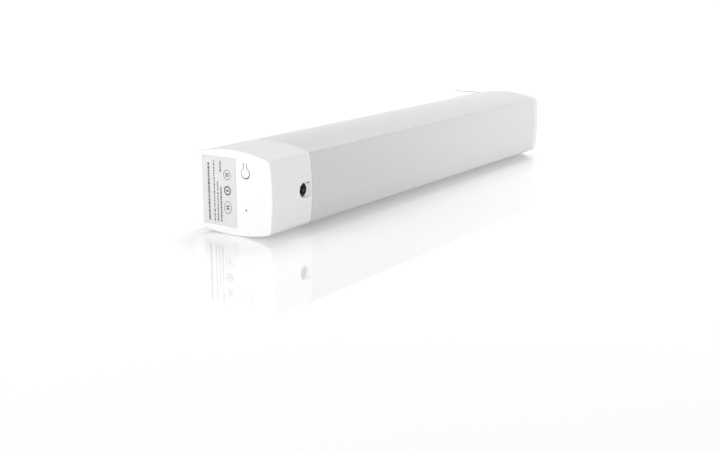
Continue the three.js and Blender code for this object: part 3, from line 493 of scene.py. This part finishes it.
NODE_FINISH = {
    "white_plastic": WHITE, "opal_diffuser": OPAL, "label_film": LABEL, "black_plastic": BLACK,
    "capacitor_sleeve": SLEEVE, "grey_nylon": NYLON, "clear_plastic": CLEAR, "green_board": GREEN_BOARD,
    "white_board": WHITE_BOARD, "phosphor": PHOSPHOR, "cell_wrap": WRAP, "nickel": NICKEL,
    "red_lead": RED, "black_lead": DARK, "grey_lead": RIBBON, "aluminium": ALUMINIUM,
    "screw_steel": STEEL,
}
for entry in frame["record"]["subparts"]:
    node = NODES[entry["node"]]
    node.data.materials.clear()
    node.data.materials.append(NODE_FINISH[entry["material_slot"]])


# ---------- Control cap ----------

BUTTON_Y = (BUTTON_LO.y + BUTTON_HI.y) / 2
PAD_RADIUS = (BUTTON_HI.y - BUTTON_LO.y) / 2
BUTTON_Z = BUTTON_LO.z + PAD_RADIUS
NECK_HALF = 0.9 * MM
NECK_TOP = BUTTON_HI.z
FLARE = 3.0 * MM  # from the pad's centre up to where the neck starts to widen
SLIT = 0.6 * MM  # the gap round the button
SKEW = 0.14 * MM  # how far the gap's circle is off the pad's centre

SOCKET_X = (SOCKET_LO.x + SOCKET_HI.x) / 2
SOCKET_Z = SOCKET_HI.z - 4.5 * MM  # the axis lies this far below the body's top
POCKET_RADIUS = 4.5 * MM
POCKET_STRAIGHT = 4.8 * MM  # where the floor ends and the ramp up to the side starts
RAMP_END = 6.8 * MM
POCKET_FLOOR = SOCKET_LO.y + 0.4 * MM  # the socket's nose stands this proud of it
POCKET_BACK = POCKET_FLOOR + 1.6 * MM  # the inner face of the floor
NOSE_HOLE_RADIUS = 4.45 * MM
# Sides of the block that the pocket is cut in, and of the notch beside its ramp, for by_socket()
BOSS = (-6.7, 7, -6.7, 6.7)
KEY_NOTCH = (4.4, 6, 3, 4.1)
KEY_DEPTH = 2.9 * MM

STATUS_Y = (PIPE_LO.y + PIPE_HI.y) / 2
STATUS_Z = (PIPE_LO.z + PIPE_HI.z) / 2
PINHOLE_RADIUS = 0.75 * MM


def bulb(grow, top, skew=0.0):
    """The button's outline: a round pad whose flanks run tangent into a straight neck.

    skew moves the pad's circle down and to the right, so that the gap round it is uneven."""
    pad, neck = PAD_RADIUS + grow, NECK_HALF + grow
    tangent = math.atan2(FLARE, neck) - math.acos(pad / math.hypot(neck, FLARE))
    points = [(BUTTON_Y + neck, top), (BUTTON_Y - neck, top), (BUTTON_Y - neck, BUTTON_Z + FLARE)]
    start, end = 2 * QUARTER - tangent, 4 * QUARTER + tangent
    points += arc(BUTTON_Y - skew, BUTTON_Z - skew, pad, start, end, steps=40)
    return points + [(BUTTON_Y + neck, BUTTON_Z + FLARE)]


def by_socket(sides):
    """A rectangle with sides (x0, x1, z0, z1), in millimetres from the socket's axis."""
    x0, x1, z0, z1 = (side * MM for side in sides)
    return rectangle(SOCKET_X + x0, SOCKET_X + x1, SOCKET_Z + z0, SOCKET_Z + z1)


def pocket_outline():
    """A half circle round the socket, with straight sides towards the tube."""
    points = arc(SOCKET_X, SOCKET_Z, POCKET_RADIUS, QUARTER, 3 * QUARTER, steps=32)
    end = SOCKET_X + POCKET_STRAIGHT
    return points + [(end, SOCKET_Z - POCKET_RADIUS), (end, SOCKET_Z + POCKET_RADIUS)]


def pocket_ramp():
    """The wedge, as (x, y) points, that slopes the pocket's far side up to the cap's surface."""
    start, side = SOCKET_X + POCKET_STRAIGHT, CAP_LO.y
    slope = (RAMP_END - POCKET_STRAIGHT) / (POCKET_FLOOR - side)
    return [
        (start - OVER, POCKET_FLOOR), (start, POCKET_FLOOR),
        (SOCKET_X + RAMP_END + slope * OVER, side - OVER), (start - OVER, side - OVER),
    ]


def control_cap():
    rear, side = CAP_HI.x, CAP_LO.y
    profile = fillet(FRONT, 1, EDGE, 0)
    profile += fillet(rear, -1, RIM_EDGE, 0, from_plane=False)
    profile += [(rear, CAP_WALL), (FRONT + END_WALL, CAP_WALL)]
    cap = loft("cap_shell", section_rings(profile, CAP_CORNER))
    join(cap, extruded("boss", by_socket(BOSS), "y", side + CAP_WALL / 2, POCKET_BACK))
    before, behind = FRONT - OVER, FRONT + END_WALL + 2 * OVER
    nose_hole = circle(SOCKET_X, SOCKET_Z, NOSE_HOLE_RADIUS)
    cut(
        cap,
        extruded("slit", bulb(SLIT, NECK_TOP, SKEW), "x", before, behind),
        extruded("pinhole", circle(STATUS_Y, STATUS_Z, PINHOLE_RADIUS, steps=24), "x", before, behind),
        extruded("pocket", pocket_outline(), "y", side - OVER, POCKET_FLOOR),
        extruded("nose_hole", nose_hole, "y", POCKET_FLOOR - OVER, POCKET_BACK + OVER),
        extruded("ramp", pocket_ramp(), "z", SOCKET_Z - POCKET_RADIUS, SOCKET_Z + POCKET_RADIUS),
        extruded("key_notch", by_socket(KEY_NOTCH), "y", side - OVER, side + KEY_DEPTH),
    )
    return soften(cap, width=0.08 * MM, angle=60)


finish_piece(control_cap(), WHITE, "housing", "white_plastic", "control_cap")


# ---------- Power button ----------

BUTTON_THICKNESS = 2 * MM
NECK_OVERLAP = 0.02 * MM  # how far the neck's top runs into the cap
STEM_RADIUS = 1.1 * MM
STEM_CHAMFER = 0.2 * MM
STEM_START = FRONT + 1 * MM  # within the thickness of the button


def power_button():
    outline = bulb(0, NECK_TOP + NECK_OVERLAP)
    tongue = extruded("button_tongue", outline, "x", FRONT, FRONT + BUTTON_THICKNESS)
    length = BUTTON_HI.x - STEM_START
    tip = STEM_RADIUS - STEM_CHAMFER
    profile = [
        (0, 0), (0, STEM_RADIUS),
        (length - STEM_CHAMFER, STEM_RADIUS), (length, tip), (length, 0),
    ]
    join(tongue, turned("stem", profile, (STEM_START, BUTTON_Y, BUTTON_Z), "x", steps=24))
    return soften(tongue, width=0.06 * MM, angle=60)


finish_piece(power_button(), WHITE, "power_button", "white_plastic", "power_button")


# ---------- Rating label ----------

LABEL_CORNER = 0.4 * MM
LABEL_GAP = 0.01 * MM  # keeps the film clear of the cap's face


def rating_label():
    outline = rounded_rectangle(LABEL_LO.y, LABEL_HI.y, LABEL_LO.z, LABEL_HI.z, LABEL_CORNER)
    film = extruded("label_sheet", outline, "x", LABEL_LO.x, FRONT - LABEL_GAP)
    return soften(film, width=0.02 * MM)


finish_piece(rating_label(), LABEL, "housing", "label_film", "rating_label")

INK_DEPTH = 0.012 * MM
PRINT_X = LABEL_LO.x - INK_DEPTH
# Lines of plain dashes, in millimetres: distance from the label's left edge, width, start and end above
# its lower edge. The last value is roughly the share of a line that is inked.
PRINT_LINES = [
    (4.95, 1.55, 2.4, 36.2, 0.78),
    (9.0, 1.05, 2.4, 38.0, 0.58),
    (11.55, 1.05, 2.1, 26.1, 0.60),
    (14.0, 1.15, 2.5, 23.0, 0.78),
    (13.9, 1.10, 31.4, 38.2, 0.80),
]
DASH_LENGTHS = (0.35, 1.5)  # in millimetres
DASH_WIDTHS = (0.75, 1.0)  # as shares of the line's width
DASH_GAP = 0.12 * MM
# Plain round marks, in millimetres: height above the label's lower edge, half width, half height, ring
# width, and the bars inside as (half length, thickness, count)
PRINT_RINGS = [
    (30.4, 2.7, 2.95, 0.34, (1.2, 0.5, 3)),
    (21.2, 2.6, 2.75, 0.85, (0.95, 1.2, 1)),
    (11.3, 2.7, 3.75, 0.34, (1.1, 0.95, 2)),
]
RINGS_FROM_LEFT = 18.9
RING_STEPS = 40
BAR_PITCH = 1.55  # as a multiple of a bar's thickness
BAR_OFFSET = 0.27  # the same, from the foot of the first pitch to its bar


def label_print():
    """Stand-in print: rows of unreadable dashes, and three plain round marks."""
    rng = random.Random(11)
    bm = bmesh.new()

    def bar(left, right, low, high):
        points = ((left, low), (left, high), (right, high), (right, low))
        bm.faces.new([bm.verts.new((PRINT_X, y, z)) for y, z in points])

    def ellipse(y, z, half_width, half_height):
        verts = []
        for i in range(RING_STEPS):
            t = math.tau * i / RING_STEPS
            at = (PRINT_X, y + half_width * math.cos(t) * MM, z + half_height * math.sin(t) * MM)
            verts.append(bm.verts.new(at))
        return verts

    for across, width, start, end, density in PRINT_LINES:
        y = LABEL_HI.y - across * MM
        z = LABEL_LO.z + start * MM
        stop = LABEL_LO.z + end * MM
        while z < stop:
            length = rng.uniform(*DASH_LENGTHS) * MM
            half = width * MM / 2 * rng.uniform(*DASH_WIDTHS)
            top = min(z + length, stop)
            bar(y + half, y - half, z, top)
            z = top + length * (1 - density) + DASH_GAP
    for height, half_width, half_height, ring, (half_bar, thickness, count) in PRINT_RINGS:
        y, z = LABEL_HI.y - RINGS_FROM_LEFT * MM, LABEL_LO.z + height * MM
        outer = ellipse(y, z, half_width, half_height)
        inner = ellipse(y, z, half_width - ring, half_height - ring)
        for i in range(RING_STEPS):
            j = (i + 1) % RING_STEPS
            bm.faces.new((outer[i], outer[j], inner[j], inner[i]))
        for i in range(count):
            low = z + (i - count / 2) * BAR_PITCH * thickness * MM + BAR_OFFSET * thickness * MM
            bar(y + half_bar * MM, y - half_bar * MM, low, low + thickness * MM)
    piece = new_object("label_print", bm)
    ink = piece.modifiers.new("ink", "SOLIDIFY")
    ink.thickness = INK_DEPTH
    ink.offset = 0
    apply_modifiers(piece)
    return piece


finish_piece(label_print(), INK, "housing", "label_film")


# ---------- DC socket ----------

SOCKET_CORNER = 0.5 * MM
SOCKET_BODY = POCKET_FLOOR + 1.9 * MM  # where the square body starts, behind the round nose
NOSE_RADIUS = 4.25 * MM
NOSE_LENGTH = 3 * MM
NOSE_CHAMFER = 0.3 * MM
BORE_RADIUS = 3.15 * MM
BORE_DEPTH = 10 * MM
MOUTH_DEPTH = 0.25 * MM  # the funnel at the bore's mouth, and how much wider it is there
MOUTH_FLARE = 0.35 * MM
PIN_HOLE_RADIUS = 1.3 * MM
LEAF_SLOT = (-1.4, 1.4, -4.2, -2.65)  # its sides, for by_socket()
CONTACT_START = 0.9 * MM  # the contact sleeve's ends, from the nose's face
CONTACT_END = 7.5 * MM
CONTACT_OUTER = 3.12 * MM  # its radii
CONTACT_INNER = 2.85 * MM


def dc_socket():
    front, back = SOCKET_LO.y, SOCKET_HI.y
    body = extruded(
        "socket_body",
        rounded_rectangle(SOCKET_LO.x, SOCKET_HI.x, SOCKET_LO.z, SOCKET_HI.z, SOCKET_CORNER),
        "y", SOCKET_BODY, back,
    )
    nose = [
        (MOUTH_DEPTH, 0), (MOUTH_DEPTH, BORE_RADIUS), (0, BORE_RADIUS + MOUTH_FLARE),
        (0, NOSE_RADIUS - NOSE_CHAMFER), (NOSE_CHAMFER, NOSE_RADIUS),
        (NOSE_LENGTH, NOSE_RADIUS), (NOSE_LENGTH, 0),
    ]
    join(body, turned("nose", nose, (SOCKET_X, front, SOCKET_Z), "y", steps=64))
    bore = circle(SOCKET_X, SOCKET_Z, BORE_RADIUS, steps=64)
    pin_hole = circle(SOCKET_X, SOCKET_Z, PIN_HOLE_RADIUS, steps=24)
    cut(
        body,
        extruded("bore", bore, "y", front - OVER, front + BORE_DEPTH),
        extruded("pin_hole", pin_hole, "y", front + BORE_DEPTH - OVER, back + OVER),
        extruded("leaf_slot", by_socket(LEAF_SLOT), "y", SOCKET_BODY + OVER, back + OVER),
    )
    return soften(body, width=0.1 * MM, angle=60)


finish_piece(dc_socket(), BLACK, "housing", "black_plastic", "dc_socket")


def socket_sleeve():
    """The thin contact sleeve that lines the bore, a little way in from the mouth."""
    front = SOCKET_LO.y
    profile = [
        (CONTACT_START, 0), (CONTACT_START, CONTACT_OUTER),
        (CONTACT_END, CONTACT_OUTER), (CONTACT_END, 0),
    ]
    sleeve = turned("socket_sleeve", profile, (SOCKET_X, front, SOCKET_Z), "y", steps=64)
    bore = circle(SOCKET_X, SOCKET_Z, CONTACT_INNER, steps=64)
    cut(sleeve, extruded("sleeve_bore", bore, "y", front - OVER, SOCKET_HI.y))
    return soften(sleeve, width=0.05 * MM)


finish_piece(socket_sleeve(), NICKEL, "housing", "nickel")


# ---------- Diffuser tube ----------

TUBE_SPANS = 12


def diffuser_tube():
    start, end = TUBE_LO.x, TUBE_HI.x
    profile = [(start, TUBE_WALL)] + fillet(start, 1, TUBE_EDGE, TUBE_INSET, steps=3)
    profile += [(start + (end - start) * i / TUBE_SPANS, TUBE_INSET) for i in range(1, TUBE_SPANS)]
    profile += fillet(end, -1, TUBE_EDGE, TUBE_INSET, steps=3, from_plane=False) + [(end, TUBE_WALL)]
    return soften(loft("tube_shell", section_rings(profile, TUBE_CORNER), looped=True), width=0)


finish_piece(diffuser_tube(), OPAL, "housing", "opal_diffuser", "diffuser_tube")


# ---------- Far cap ----------

SCREW_Z = (SCREW_LO.z + SCREW_HI.z) / 2
SCREW_Y = (SCREW_LO.y + SCREW_HI.y) / 2
PIVOT_Y = (PIVOT_LO.y + PIVOT_HI.y) / 2
PIVOT_Z = (PIVOT_LO.z + PIVOT_HI.z) / 2
FAR_GAP = 0.3 * MM  # between the cap and the tube, at the joint and round the plug
PLUG_THICKNESS = 1.6 * MM
CAP_THROUGH = 9 * MM  # how far the screws' holes run in from the far face
PIVOT_HOLE_RADIUS = 1.7 * MM
SCREW_HOLE_RADIUS = 1.6 * MM
SCREW_SEAT_RADIUS = 3 * MM
SCREW_SEAT_DEPTH = 2.2 * MM


def far_cap():
    joint = TUBE_HI.x + FAR_GAP
    plug = TUBE_WALL + FAR_GAP
    hollow = plug + PLUG_THICKNESS
    profile = [(FAR_FACE - FAR_PLATE, hollow), (FAR_LO.x, hollow), (FAR_LO.x, plug), (joint, plug)]
    profile += fillet(joint, 1, RIM_EDGE, 0) + fillet(FAR_FACE, -1, EDGE, 0, steps=8, from_plane=False)
    cap = loft("far_cap_shell", section_rings(profile, CAP_CORNER))
    inner, outer = FAR_FACE - CAP_THROUGH, FAR_FACE + OVER
    pivot_hole = circle(PIVOT_Y, PIVOT_Z, PIVOT_HOLE_RADIUS, steps=24)
    tools = [extruded("pivot", pivot_hole, "x", inner, outer)]
    for y in (-SCREW_Y, SCREW_Y):
        seat = circle(y, SCREW_Z, SCREW_SEAT_RADIUS, steps=40)
        hole = circle(y, SCREW_Z, SCREW_HOLE_RADIUS, steps=24)
        tools.append(extruded("seat", seat, "x", FAR_FACE - SCREW_SEAT_DEPTH, outer))
        tools.append(extruded("hole", hole, "x", inner, FAR_FACE))
    return soften(cut(cap, *tools), width=0.15 * MM, angle=60)


finish_piece(far_cap(), WHITE, "housing", "white_plastic", "far_cap")


# ---------- Hanging tab ----------

TAB_CORNER = 0.7 * MM
SLOT_FROM_PIVOT = 25.5 * MM
SLOT_STRAIGHT = 1.5 * MM  # half the length of the slot's straight sides
SLOT_RADIUS = 3 * MM
TAB_HOLE_RADIUS = 2.3 * MM
TAB_SEAT_RADIUS = 4.3 * MM  # the pivot screw's head sits in it
TAB_SEAT_DEPTH = 1.25 * MM


def hanging_tab():
    half = (TAB_HI.z - TAB_LO.z) / 2
    corner_y, corner_z = TAB_HI.y - TAB_CORNER, half - TAB_CORNER
    outline = arc(PIVOT_Y, PIVOT_Z, half, QUARTER, 3 * QUARTER, steps=40)
    outline += arc(corner_y, PIVOT_Z - corner_z, TAB_CORNER, -QUARTER, 0, steps=6)
    outline += arc(corner_y, PIVOT_Z + corner_z, TAB_CORNER, 0, QUARTER, steps=6)
    slot_y = PIVOT_Y + SLOT_FROM_PIVOT
    slot = arc(slot_y + SLOT_STRAIGHT, PIVOT_Z, SLOT_RADIUS, -QUARTER, QUARTER, steps=20)
    slot += arc(slot_y - SLOT_STRAIGHT, PIVOT_Z, SLOT_RADIUS, QUARTER, 3 * QUARTER, steps=20)
    inner, outer = TAB_LO.x - OVER, TAB_HI.x + OVER
    hole = circle(PIVOT_Y, PIVOT_Z, TAB_HOLE_RADIUS, steps=32)
    seat = circle(PIVOT_Y, PIVOT_Z, TAB_SEAT_RADIUS)
    plate = cut(
        extruded("tab_plate", outline, "x", TAB_LO.x, TAB_HI.x),
        extruded("slot", slot, "x", inner, outer),
        extruded("hole", hole, "x", inner, outer),
        extruded("seat", seat, "x", TAB_HI.x - TAB_SEAT_DEPTH, outer),
    )
    return soften(plate, width=0.15 * MM, segments=3)


finish_piece(hanging_tab(), SHEET, "hanging_tab", "white_plastic", "hanging_tab")


# ---------- Floor ----------

FLOOR_HALF = 12.0  # half the width of the square, in metres


def floor():
    bm = bmesh.new()
    corners = rectangle(-FLOOR_HALF, FLOOR_HALF, -FLOOR_HALF, FLOOR_HALF)
    bm.faces.new([bm.verts.new((x, y, 0)) for x, y in corners])
    plane = new_object("floor", bm)
    mat, tree, bsdf = shader(
        "floor_gloss", (0.76, 0.76, 0.76), 0.04, Specular_IOR_Level=0.85, Coat_Weight=0.5,
        Coat_Roughness=0.03, Emission_Color=(1, 1, 1, 1), Emission_Strength=0.17,
    )
    tree.links.new(spread(tree, noise(tree, 0.2, detail=3), 0.03, 0.05), bsdf.inputs["Roughness"])
    plane.data.materials.append(mat)


floor()


# ---------- Light ----------

HORIZON_GLOW = 1.05
ZENITH_GLOW = 0.34


def studio_world():
    """A plain room that is brighter low down than overhead."""
    world = bpy.data.worlds.new("studio")
    bpy.context.scene.world = world
    world.use_nodes = True
    tree = world.node_tree
    glow = spread(tree, component(tree, "Generated", "Z"), HORIZON_GLOW, ZENITH_GLOW, 0.0, 0.9)
    tree.links.new(glow, tree.nodes["Background"].inputs["Strength"])
    tree.nodes["Background"].inputs["Color"].default_value = (1, 1, 1, 1)


def aim(thing, direction):
    """Turns a light or a camera to look along a direction, upright."""
    thing.rotation_euler = direction.to_track_quat("-Z", "Y").to_euler()


def softbox(name, place, target, size, power):
    """A rectangular light at a place, aimed at a target. power is in watts."""
    light = bpy.data.lights.new(name, "AREA")
    light.shape = "RECTANGLE"
    light.size, light.size_y = size
    light.energy = power
    holder = bpy.data.objects.new(name, light)
    bpy.context.scene.collection.objects.link(holder)
    holder.location = place
    aim(holder, Vector(target) - Vector(place))


studio_world()
softbox("back_key", (0.75, 0.45, 1.25), target=(0, 0, 0.02), size=(0.9, 0.6), power=12.0)
softbox("front_card", (-1.35, 0.5, 0.3), target=(-0.17, 0, 0.02), size=(0.9, 0.4), power=8.1)
softbox("front_strip", (-1.35, -0.12, 0.2), target=(-0.17, 0, 0.02), size=(0.9, 0.3), power=1.3)
softbox("side_card", (-0.9, -1.1, 0.25), target=(-0.1, 0, 0.02), size=(0.5, 0.3), power=3.25)
softbox("far_fill", (0.16, -0.38, 0.14), target=(0.12, 0, 0.03), size=(0.3, 0.2), power=0.37)


# ---------- Camera ----------

YAW = math.radians(34.07)
PITCH = math.radians(13.8)
LENS = 53.5  # in millimetres, as the sensor's width is
SENSOR_WIDTH = 36
EYE = (FRONT - 453.17 * MM, -395.35 * MM, 152.69 * MM)
NEAR_CLIP = 10 * MM
EXPOSURE = 0.12


def photo_camera():
    """The photo's viewpoint, solved from the near end face and the bar's long edges."""
    camera = bpy.data.objects.new("camera", bpy.data.cameras.new("camera"))
    bpy.context.scene.collection.objects.link(camera)
    camera.data.lens = LENS
    camera.data.sensor_width = SENSOR_WIDTH
    camera.data.clip_start = NEAR_CLIP
    camera.location = EYE
    level = math.cos(PITCH)
    aim(camera, Vector((math.cos(YAW) * level, math.sin(YAW) * level, -math.sin(PITCH))))
    bpy.context.scene.camera = camera


photo_camera()
bpy.context.scene.view_settings.view_transform = "Standard"
bpy.context.scene.view_settings.exposure = EXPOSURE
